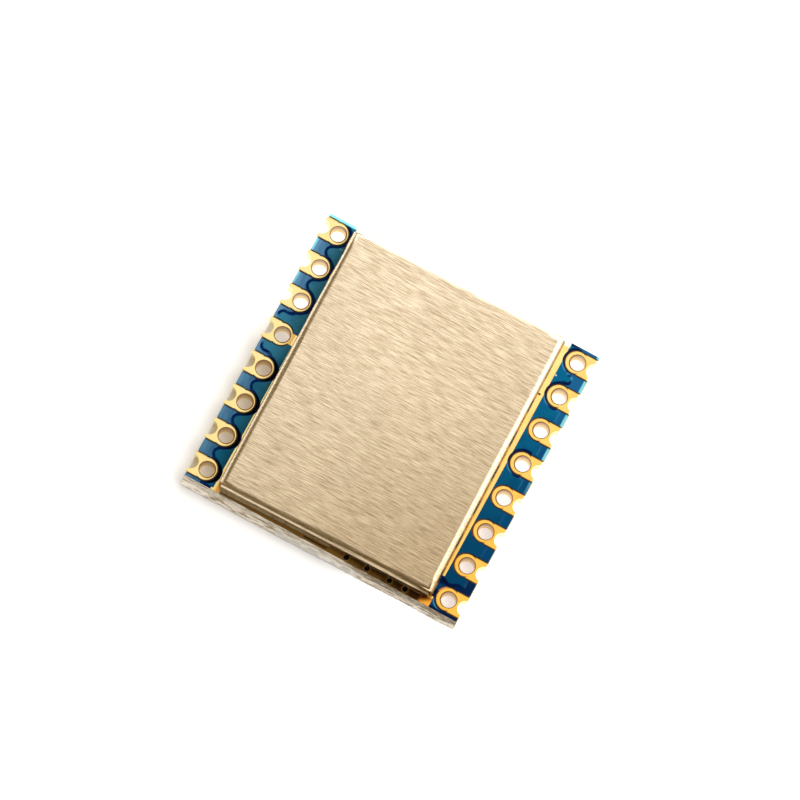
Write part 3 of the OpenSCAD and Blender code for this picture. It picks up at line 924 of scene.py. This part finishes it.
def glass_laminate(colour):
    """Glass cloth in resin: bundles of fibre along the snapped edges, torn white ends and brown resin, with
    painted shade that darkens the upper face where it shows round the pads and a painted glare that whitens
    the back.
    """
    f = Finish("glass laminate")
    fibre = f.drawn_out((1.3, 9.0, 16.0), 4.0, 0.6)
    thread = f.drawn_out((4.0, 26.0, 30.0), 3.0, 0.6)
    patch = f.noise(0.55, 2.0)
    beside = abs(f.x)
    brown = f.between(f.z + fibre * 0.2, 0.86, 1.0) * f.between(f.x + patch * 3.0, 2.4, 4.0)
    level = f.z + f.noise(1.4, 2.0) * 0.22
    from_middle = abs(f.x + 0.2) + patch * 0.8
    lens = f.below(from_middle, 2.3, 2.8) * f.below(level, 0.88, 0.93)
    crest = f.below(from_middle, 2.4, 3.0) * f.band(level, 0.87, 0.9, 0.95, 1.0)
    # Painted shade: the upper face almost black where it shows in the gaps round the pads
    top = f.between(f.z, Z_FACE - 0.012, Z_FACE - 0.004) * f.below(beside, 7.82, 7.88)
    shade = f.layered(
        colour,
        (linear(146, 126, 94), f.between(fibre, 0.46, 0.6) * 0.92),
        (linear(250, 246, 238), f.between(thread, 0.52, 0.64) * 0.6),
        (linear(112, 90, 56), brown * f.between(thread, 0.36, 0.56) * 0.85),
        (linear(206, 202, 194), lens),
        (linear(252, 248, 240), crest * 0.8),
        (linear(216, 204, 172), f.between(beside, 7.84, 7.87) * 0.7),
        # Painted glare that whitens the back
        (linear(255, 253, 248), f.between(f.y, 7.3, 7.7)),
        (linear(26, 16, 8), top),
    )
    return f.set(
        Base_Color=shade, Roughness=0.5 + fibre * 0.2, Specular_IOR_Level=0.45,
        Normal=f.bump((fibre + thread * 0.6) * (1 - lens * 0.8), 0.045),
    )


def nickel_silver(colour):
    """Rolled sheet: fine streaks across the shield, slightly cloudy, with painted shade that darkens it
    towards the front right and below the right fold.
    """
    f = Finish("rolled nickel silver")
    streak = f.drawn_out((1.05, 29.0, 14.0), 2.0, 0.6)
    hair = f.drawn_out((1.3, 56.0, 24.0), 1.0, 0.55)
    cloud = f.noise(0.2, 2.0)
    # Painted shade: darker and browner towards the front right
    front_right_darkening = f.between(f.x * 0.7 - f.y * 0.7 + cloud * 4.0, -5.0, 14.0)
    base = f.mix(colour, times(colour, (0.56, 0.51, 0.42)), front_right_darkening)
    dark = f.mix(base, (0.62, 0.57, 0.49), 1.0, "MULTIPLY")
    light = f.mix(base, (1.18, 1.2, 1.22), 1.0, "MULTIPLY")
    # Painted shade on the lower part of the right fold
    painted_fold_shade = f.below(f.z, 2.21, 2.28) * f.between(f.x, 5.0, 5.6)
    shade = f.layered(
        light,
        (dark, f.between(streak, 0.38, 0.64)),
        (light, f.between(hair, 0.48, 0.66) * 0.5),
        ((0.42, 0.36, 0.26), painted_fold_shade, "MULTIPLY"),
    )
    rough = 0.2 + streak * 0.08 + hair * 0.05
    relief = (streak + hair * 0.7) * f.between(f.z, 2.1, 2.31)
    return f.set(Base_Color=shade, Metallic=1.0, Roughness=rough, Normal=f.bump(relief, 0.004))


def reflowed_solder(colour):
    """Solder that ran along the shield's foot: grey, lumpy and half matt, golden at the right."""
    f = Finish("reflowed solder")
    lump = f.noise(4.0, 3.0)
    grain = f.noise(30.0, 2.0)
    shade = f.layered(
        colour,
        (times(colour, (0.62, 0.62, 0.62)), f.between(lump, 0.42, 0.7)),
        (linear(214, 156, 74), f.between(f.x, 5.5, 5.7)),
    )
    rough = 0.32 + lump * 0.2 + grain * 0.08
    return f.set(Base_Color=shade, Metallic=1.0, Roughness=rough, Normal=f.bump(lump + grain * 0.3, 0.01))


def moulded_epoxy():
    """Moulded chip package: near black with fine mineral filler."""
    f = Finish("moulded epoxy")
    filler = f.node("ShaderNodeTexVoronoi", inputs={"Vector": f.place, "Scale": 38.0}, output="Distance")
    cloud = f.noise(2.0, 3.0)
    shade = f.mix(linear(34, 34, 36), linear(62, 62, 64), f.between(filler, 0.3, 0.7) * 0.6)
    return f.set(Base_Color=shade, Roughness=0.55 + cloud * 0.2, Normal=f.bump(filler + cloud, 0.003))


def fired_ceramic(name, base, fleck):
    """Fired ceramic of a small component."""
    f = Finish(name)
    grain = f.noise(20.0, 3.0)
    cloud = f.noise(3.0, 2.0)
    shade = f.mix(base, fleck, f.between(grain, 0.4, 0.7))
    return f.set(Base_Color=shade, Roughness=0.4 + cloud * 0.2, Normal=f.bump(grain, 0.002))


def tinned_metal(name, base):
    """Tinned or nickel-plated ends, leads and lids."""
    f = Finish(name)
    grain = f.noise(24.0, 3.0)
    cloud = f.noise(3.0, 2.0)
    shade = f.mix(base, times(base, (0.78, 0.78, 0.78)), f.between(cloud, 0.4, 0.7))
    return f.set(Base_Color=shade, Metallic=1.0, Roughness=0.3 + grain * 0.2, Normal=f.bump(grain, 0.0015))


# Pieces

class MODULE_OT_terminals(bpy.types.Operator):
    """Models a plated terminal with its hole and edge notch, and copies it to all sixteen places"""

    bl_idname = "radio_module.terminals"
    bl_label = "Plated terminals"

    def model(self, s, side, web):
        """One terminal at the origin with the board's edge at +X."""
        ring, half_tab, wall = s.ring_radius * MM, s.tab_width * MM / 2, s.plating * MM
        hole, notch = s.hole_radius * MM, s.notch_radius * MM
        edge, bite = HALF_WIDTH - ROW_X, NOTCH_X - ROW_X
        art = side * ART

        def pad(low, high):
            made = drum(ring, low, high, -art, 0, FINE)
            return fuse(made, block((s.tab_start * MM - art, -half_tab, low), (edge, half_tab, high)))

        piece = pad(Z_FACE, Z_PAD)
        if web:
            reach, overlap = ROW_X - FRAME_HALF - ART, 0.1
            fuse(piece, block((-reach, -LINK_HALF, Z_FACE), (-art - ring + overlap, LINK_HALF, Z_PAD)))
        fuse(
            piece, pad(0, Z_CORE), drum(hole + wall, 0, Z_PAD, sides=FINE),
            drum(notch + wall, 0, Z_PAD, bite, 0, FINE),
        )
        cut(
            piece, drum(hole, BELOW, ABOVE, sides=FINE), drum(notch, BELOW, ABOVE, bite, 0, FINE),
            block((TAB_END[side] - ROW_X, -1, BELOW), (edge + 1, 1, ABOVE)),
        )
        weld(piece)
        return soften(piece, s.edge_round * MM, 3)

    def execute(self, context):
        s = context.scene.module_terminals
        gold = terminal_gold(tuple(s.colour))
        forms = {1: self.model(s, 1, False), -1: self.model(s, -1, False), 0: self.model(s, -1, True)}
        for i in TERMINALS:
            side = side_of(i)
            form = forms[0 if i == WEB_TERMINAL else side]
            piece = added(f"plated_terminal_{i}", form.data.copy())
            piece.location = (*terminal_at(i), 0)
            piece.rotation_euler = (0, 0, 0 if side > 0 else math.pi)
            placed(piece)
            settle(piece, f"plated_terminal_{i}", [f"terminal_{i}"], gold, flats=True)
        for form in forms.values():
            bpy.data.objects.remove(form)
        return {"FINISHED"}


class MODULE_OT_core(bpy.types.Operator):
    """Models the laminate with scored grooves and rough snapped edges"""

    bl_idname = "radio_module.core"
    bl_label = "Scored laminate"

    def snapped_edges(self, piece, depth):
        """Draws the front and back faces out into the narrow webs that were left under the scored grooves."""
        groove_slope, narrowing = math.radians(30), 0.79
        front_tear, front_slant = 0.05, math.radians(-0.45)
        thick = Z_FACE - Z_CORE
        recess = depth * math.tan(groove_slope)
        steps = ((recess, (thick - 2 * depth) / thick), (HALF_WEB - FACE_HALF - recess, narrowing))
        for side in (-1, 1):
            choose(piece, "FACE", lambda middle, face: face.normal.y * side > 0.9)
            for out, squeeze in steps:
                bpy.ops.mesh.extrude_region_move(TRANSFORM_OT_translate={"value": (0, side * out, 0)})
                bpy.ops.transform.resize(
                    value=(1, 1, squeeze), center_override=(0, 0, (Z_CORE + Z_FACE) / 2)
                )
            if side < 0:
                bpy.ops.transform.translate(value=(0, -front_tear, 0))
                bpy.ops.transform.rotate(
                    value=front_slant, orient_axis="Z", center_override=(HALF_WIDTH, -HALF_WEB, 0)
                )

    def execute(self, context):
        s = context.scene.module_board
        depth = s.score_depth * MM
        spacing, inset = 0.08, 0.06
        piece = block((-ROUTED[-1], -FACE_HALF, Z_CORE), (ROUTED[1], FACE_HALF, Z_FACE))
        edit(piece)
        self.snapped_edges(piece, depth)
        slice_at(np.arange(-ROUTED[-1] + spacing / 2, ROUTED[1], spacing), 0)
        slice_at(np.linspace(Z_CORE + depth + inset, Z_FACE - depth - inset, 5), 2)
        fresh()

        def tearing(place):
            beyond = (abs(place.y) - FACE_HALF) / (HALF_WEB - FACE_HALF)
            return 0.25 + beyond if beyond > 0.02 else 0

        weigh(piece, "torn", tearing)
        for index, (scale, share) in enumerate(((1.6, 0.3), (0.13, 0.4))):
            ruffle(piece, f"torn fibres {index}", "torn", "Y", scale, s.roughness * MM * share * 2, 3)
        hole = context.scene.module_terminals
        wall = hole.plating * MM
        holes = []
        for i in TERMINALS:
            x, y = terminal_at(i)
            holes.append(drum(hole.hole_radius * MM + wall, BELOW, ABOVE, x, y))
            holes.append(drum(hole.notch_radius * MM + wall, BELOW, ABOVE, side_of(i) * NOTCH_X, y))
        holes += [drum(VIA_BORE, BELOW, ABOVE, x, VIA_Y, 32) for x in VIAS]
        cut(piece, together(holes))
        settle(piece, "scored_laminate", ["unclad_core"], glass_laminate(tuple(s.laminate)), 50)
        return {"FINISHED"}


class MODULE_OT_mask(bpy.types.Operator):
    """Models the solder mask as a film that drapes over the copper beside the shield"""

    bl_idname = "radio_module.mask"
    bl_label = "Draped solder mask"

    def openings(self, side):
        """Tools for the pad openings of one row."""
        s = bpy.context.scene.module_terminals
        bottom, top = Z_FACE - 1, Z_FACE + 1
        half = s.tab_width * MM / 2 + MASK_OPENING
        made = []
        for i in TERMINALS:
            if side_of(i) == side:
                x, y = terminal_at(i)
                pad = drum(s.ring_radius * MM + MASK_OPENING, bottom, top, x - ART, y, FINE)
                low, high = sorted((x + side * s.tab_start * MM - ART, side * (HALF_WIDTH + 1)))
                made.append(fuse(pad, block((low, y - half, bottom), (high, y + half, top))))
        return made

    def bare_frame(self, side):
        """Tool for the bare ground frame on one side, bitten by the clearance round the signal rings."""
        under_shield, past_end = 4.0, 9
        low, high = sorted((BARE_FRAME[side], side * under_shield))
        tool = block((low, -past_end, Z_FACE - 1), (high, past_end, Z_FACE + 1))
        bottom, top = Z_FACE - 2, Z_FACE + 2
        cut(tool, ring_tools(side, MASK_BITE[side], bottom, top))
        if side > 0:
            cut(tool, block((0, TRACE_Y - TRACE_GAP, bottom), (past_end, TRACE_Y + TRACE_GAP, top)))
        return tool

    def film(self, s, side):
        """One side's film, from a fine grid that is lifted over the copper."""
        inner, outer = FILM_START[side], FILM_END[side]
        cell, low, drape = s.cell * MM, s.mask_low * MM, s.drape * MM
        hollow, thinnest = 0.031, 0.008
        wide, long = outer - inner, 2 * FACE_HALF
        middle = side * (inner + outer) / 2
        piece = flat_sheet(middle, wide, long, Z_FACE, round(wide / cell), round(long / cell))
        modify(piece, "SOLIDIFY", thickness=low, offset=1.0)
        points = points_of(piece)
        upper = points[:, 2] > Z_FACE + low / 2
        gap = copper_edge(points[:, 0], points[:, 1])
        lift = rounded_step((drape - 0.01 - gap) / drape)
        under = rounded_step((0.075 - gap) / 0.05)
        top = low + lift * (s.mask_high - s.mask_low) * MM
        points[:, 2] = Z_FACE + np.where(upper, top, np.minimum(under * hollow, top - thinnest))
        piece.data.vertices.foreach_set("co", points.ravel())
        piece.data.update()
        cut(piece, together(self.openings(side)), self.bare_frame(side))
        if side < 0:
            x, y = terminal_at(WEB_TERMINAL)
            cut(piece, block((x, y - LINK_HALF, Z_FACE - 1), (-5, y + LINK_HALF, Z_FACE + 1)))
        return piece

    def execute(self, context):
        s = context.scene.module_board
        inside = trim(traced("top_mask"), *INNER_MASK)
        piece = together([self.film(s, -1), self.film(s, 1), inside])
        points = points_of(piece)
        for name, values in film_values(points[:, 0], points[:, 1]).items():
            kept = piece.data.attributes.new(name, "FLOAT", "POINT")
            kept.data.foreach_set("value", values.astype(np.float32))
        settle(piece, "draped_mask", ["top_mask"], draped_mask(s), 50)
        below = trim(traced("bottom_mask"), -FILM_END[-1], FILM_END[1])
        settle(below, "lower_mask", ["bottom_mask"], plain_mask(s), 30)
        return {"FINISHED"}


class MODULE_OT_copper(bpy.types.Operator):
    """Rounds the bare ground frame and its vias, and finishes the covered copper"""

    bl_idname = "radio_module.copper"
    bl_label = "Ground copper"

    def execute(self, context):
        gold = ground_gold(tuple(context.scene.module_terminals.colour))
        piece = trim(traced("top_ground"), *COPPER_ENDS)
        cut(piece, ring_tools(-1, COPPER_BITE, 0, 3))
        soften(piece, 0.008)
        settle(piece, "ground_frame", ["top_ground"], gold, flats=True)
        piece = soften(traced("ground_vias"), 0.006)
        settle(piece, "plated_vias", ["ground_vias"], gold, flats=True)
        dress("component_lands", gold)
        covered = bare_copper(linear(196, 132, 84))
        for node in ("bottom_ground", "antenna_trace"):
            dress(node, covered)
        return {"FINISHED"}


class MODULE_OT_shield(bpy.types.Operator):
    """Models the shield: folds that meet in mitres, and walls parted by a notch at each corner"""

    bl_idname = "radio_module.shield"
    bl_label = "Folded shield"

    def execute(self, context):
        s = context.scene.module_shield
        half_w, half_l = s.width * MM / 2, s.length * MM / 2
        bend, relief, sheet = s.bend_radius * MM, s.relief * MM, s.sheet * MM
        low, high = span("shield_can")
        near, margin, sheared = 1e-4, 1, 0.014
        piece = block((-half_w, -half_l, low.z), (half_w, half_l, high.z))
        edit(piece)
        slice_at(np.linspace(-half_w + margin, half_w - margin, 12), 0)
        slice_at(np.linspace(-half_l + margin, half_l - margin, 15), 1)

        def on_fold(middle, edge):
            beside = abs(abs(middle.x) - half_w) < near or abs(abs(middle.y) - half_l) < near
            return middle.z > high.z - near and beside

        choose(piece, "EDGE", on_fold)
        bpy.ops.mesh.bevel(offset=bend, segments=s.bend_steps, profile=0.5, affect="EDGES")
        choose(piece, "FACE", lambda middle, face: face.normal.z < -0.9)
        bpy.ops.mesh.delete(type="FACE")
        fresh()
        weigh(piece, "crown", lambda place: (place.z - high.z + bend) / bend)
        ruffle(piece, "stamped bow", "crown", "Z", 5.0, s.bow * MM * 2, 1)
        modify(piece, "SOLIDIFY", thickness=sheet, offset=-1.0, use_even_offset=True)
        notches = [
            block((x - relief, y - relief, low.z - 1), (x + relief, y + relief, high.z + 1))
            for x in (-half_w, half_w) for y in (-half_l, half_l)
        ]
        cut(piece, together(notches))
        soften(piece, sheared, 2, 50)
        piece.rotation_euler = (0, 0, s.turn)
        piece.location = CAN_AT
        placed(piece)
        settle(piece, "folded_shield", ["shield_can"], nickel_silver(tuple(s.colour)), 40, True)
        return {"FINISHED"}


class MODULE_OT_solder(bpy.types.Operator):
    """Models the solder film under the shield's walls and the bead that runs out along its front"""

    bl_idname = "radio_module.solder"
    bl_label = "Shield solder"

    def film(self, half_l, turn):
        """The CAD's film without the part in front of the shield, where the bead takes its place."""
        piece = traced("shield_solder")
        edit(piece)
        ahead = Vector((math.sin(turn), -math.cos(turn), 0))
        split(Vector(CAN_AT) + half_l * ahead, ahead, clear_outer=True, use_fill=True)
        fresh()
        return piece

    def bead(self, half_w, half_l, floor, turn):
        """A lumpy fillet along the left part of the front wall, drawn out thin at its right end."""
        start, end = -half_w + 0.2, 0.36
        deep, tall, close = 0.12, 0.2, 0.004
        piece = block((start, -half_l - deep, floor), (end, -half_l, floor + tall))
        edit(piece)

        def on_outer_edge(middle, edge):
            lengthwise = abs(edge.verts[0].co.x - edge.verts[1].co.x) > 1
            return middle.y < -half_l - deep / 2 and middle.z > floor + tall / 2 and lengthwise

        choose(piece, "EDGE", on_outer_edge)
        bpy.ops.mesh.bevel(offset=0.105, segments=7, profile=0.25, affect="EDGES")
        choose(piece, "FACE", lambda middle, face: face.normal.x > 0.9)
        bpy.ops.transform.resize(value=(1, 0.45, 0.4), center_override=(end, -half_l, floor))
        slice_at(np.arange(start + 0.1, end, 0.1), 0)
        fresh()
        weigh(piece, "free", lambda place: place.y < -half_l - close and place.z > floor + close)
        ruffle(piece, "solder lumps", "free", "Y", 0.7, 0.05, 2)
        piece.rotation_euler = (0, 0, turn)
        piece.location = CAN_AT
        return placed(piece)

    def execute(self, context):
        s = context.scene.module_shield
        half_w, half_l = s.width * MM / 2, s.length * MM / 2
        floor = span("shield_solder")[0].z
        piece = together([self.film(half_l, s.turn), self.bead(half_w, half_l, floor, s.turn)])
        settle(piece, "shield_bead", ["shield_solder"], reflowed_solder(tuple(s.solder)), 50)
        return {"FINISHED"}


class MODULE_OT_circuit(bpy.types.Operator):
    """Finishes the components that the shield covers"""

    bl_idname = "radio_module.circuit"
    bl_label = "Covered components"

    def execute(self, context):
        epoxy = moulded_epoxy()
        tin = tinned_metal("tinned ends", linear(196, 196, 192))
        capacitor = fired_ceramic("capacitor ceramic", linear(176, 138, 92), linear(198, 160, 112))
        inductor = fired_ceramic("inductor ceramic", linear(210, 212, 206), linear(170, 190, 196))
        finishes = {
            "transceiver_body": epoxy,
            "antenna_switch_body": epoxy,
            "transceiver_leads": tin,
            "antenna_switch_leads": tin,
            "crystal_base": fired_ceramic("crystal ceramic", linear(92, 74, 58), linear(120, 98, 78)),
            "crystal_lid": tinned_metal("crystal lid", linear(206, 192, 150)),
            "crystal_pads": tin,
            "capacitor_bodies": capacitor,
            "capacitor_ends": tin,
            "inductor_bodies": inductor,
            "inductor_ends": tin,
            "resistor_bodies": fired_ceramic("resistor glaze", linear(30, 30, 34), linear(60, 60, 66)),
            "resistor_ends": tin,
        }
        for node, material in finishes.items():
            dress(node, material)
        return {"FINISHED"}


class MODULE_OT_stage(bpy.types.Operator):
    """Sets the floor, the soft lamps and the camera"""

    bl_idname = "radio_module.stage"
    bl_label = "Floor, lamps and camera"

    # Place in metres, width and height in metres, and power in watts of each lamp
    LAMPS = {
        "back": ((-0.02, 0.36, 0.19), (0.24, 0.16), 0.32),
        "right": ((0.34, 0.03, 0.42), (0.4, 0.34), 0.6),
        "low back": ((-0.05, 0.6, 0.1), (0.9, 0.14), 1.4),
        "low left": ((-0.5, -0.06, 0.09), (0.5, 0.2), 0.36),
    }

    def lamp(self, name, place, sizes, power):
        """A soft rectangular lamp that faces the module."""
        data = bpy.data.lights.new(name, "AREA")
        data.shape = "RECTANGLE"
        data.size, data.size_y = sizes
        data.energy = power
        made = added(name, data)
        made.location = place
        made.rotation_euler = (-Vector(place)).to_track_quat("-Z", "Y").to_euler()

    def white_floor(self, colour):
        """White as the camera and shiny pieces see it, shaded at the front left and under the right row."""
        f = Finish("white floor")
        camera, glossy, through = (
            f.node("ShaderNodeLightPath", output=f"Is {kind} Ray")
            for kind in ("Camera", "Glossy", "Transmission")
        )
        seen = camera + glossy + through
        across = f.between(f.x * 0.7 + f.y * 0.7, -6.0, -2.4)
        under = f.between(f.x, -7.99, -7.93) * f.between(f.y, -8.1, -8.0) * (1 - across)
        shaded = f.mix((0.1, 0.085, 0.06), (0.29, 0.25, 0.2), f.between(f.x, -7.6, -7.4))
        right_row = f.band(f.x, 5.5, 6.0, 7.5, 7.6) * f.between(-f.y, -0.5, 3.0)
        lit = f.layered(
            (0.27, 0.27, 0.28),
            ((0.95, 0.95, 0.95), across),
            (shaded, under),
            ((0.62, 0.6, 0.605), right_row),
        )
        glow_with_painted_shade = f.mix((0, 0, 0), lit, f.between(seen, 0.1, 0.9))
        return f.set(
            Base_Color=(*colour, 1.0), Roughness=0.3, Specular_IOR_Level=0.35, Emission_Color=glow_with_painted_shade,
            Emission_Strength=1.0,
        )

    def sky(self, world):
        """Bright towards the back right, dim and warm elsewhere."""
        sky = Nodes(world.node_tree)
        bright_way = (0.72, 0.42, 0.53)
        bright, dim = (2.3, 2.32, 2.42), (0.26, 0.21, 0.12)
        facing = sky.node(
            "ShaderNodeVectorMath", {"operation": "DOT_PRODUCT"},
            {0: sky.node("ShaderNodeTexCoord", output="Generated"), 1: bright_way}, "Value",
        )
        level = sky.between(facing, 0.3, 0.92)
        light = sky.node("ShaderNodeVectorMath", {"operation": "MULTIPLY_ADD"}, {0: level, 1: bright, 2: dim})
        sky.feed(sky.tree.nodes["Background"].inputs["Color"], light)

    def execute(self, context):
        s = context.scene.module_stage
        fresh()
        bpy.ops.mesh.primitive_plane_add(size=8, location=(0, 0, 0))
        floor = context.active_object
        floor.name = "floor"
        floor.data.materials.append(self.white_floor(s.floor))

        world = bpy.data.worlds.new("soft studio")
        context.scene.world = world
        world.use_nodes = True
        self.sky(world)
        for name, (place, sizes, power) in self.LAMPS.items():
            self.lamp(name, place, sizes, power)

        camera = bpy.data.cameras.new("camera")
        camera.sensor_width = 36.0
        camera.lens = s.lens
        camera.clip_start = 0.01
        camera.clip_end = 50.0
        holder = added("camera", camera)
        holder.location = s.place
        holder.rotation_euler = s.aim
        context.scene.camera = holder
        context.scene.view_settings.view_transform = "Standard"
        return {"FINISHED"}


OPERATORS = (
    MODULE_OT_terminals, MODULE_OT_core, MODULE_OT_mask, MODULE_OT_copper, MODULE_OT_shield, MODULE_OT_solder,
    MODULE_OT_circuit, MODULE_OT_stage,
)
GROUPS = {
    "module_terminals": TerminalSettings,
    "module_board": BoardSettings,
    "module_shield": ShieldSettings,
    "module_stage": StageSettings,
}


class MODULE_PT_panel(bpy.types.Panel):
    """Lists the sizes and colours, and the steps that model the pieces"""

    bl_idname = "MODULE_PT_panel"
    bl_label = "Shielded radio module"
    bl_space_type = "VIEW_3D"
    bl_region_type = "UI"
    bl_category = "Radio module"

    def draw(self, context):
        for name, group in GROUPS.items():
            box = self.layout.box()
            for key in group.__annotations__:
                box.prop(getattr(context.scene, name), key)
        for step in OPERATORS:
            self.layout.operator(step.bl_idname)


def register():
    for group in GROUPS.values():
        bpy.utils.register_class(group)
    for name, group in GROUPS.items():
        setattr(bpy.types.Scene, name, PointerProperty(type=group))
    for each in (*OPERATORS, MODULE_PT_panel):
        bpy.utils.register_class(each)


def unregister():
    for each in (MODULE_PT_panel, *reversed(OPERATORS)):
        bpy.utils.unregister_class(each)
    for name in GROUPS:
        delattr(bpy.types.Scene, name)
    for group in GROUPS.values():
        bpy.utils.unregister_class(group)


def main():
    register()
    module = bpy.ops.radio_module
    module.stage()
    module.terminals()
    module.core()
    module.mask()
    module.copper()
    module.shield()
    module.solder()
    module.circuit()


if __name__ == "__main__":
    main()
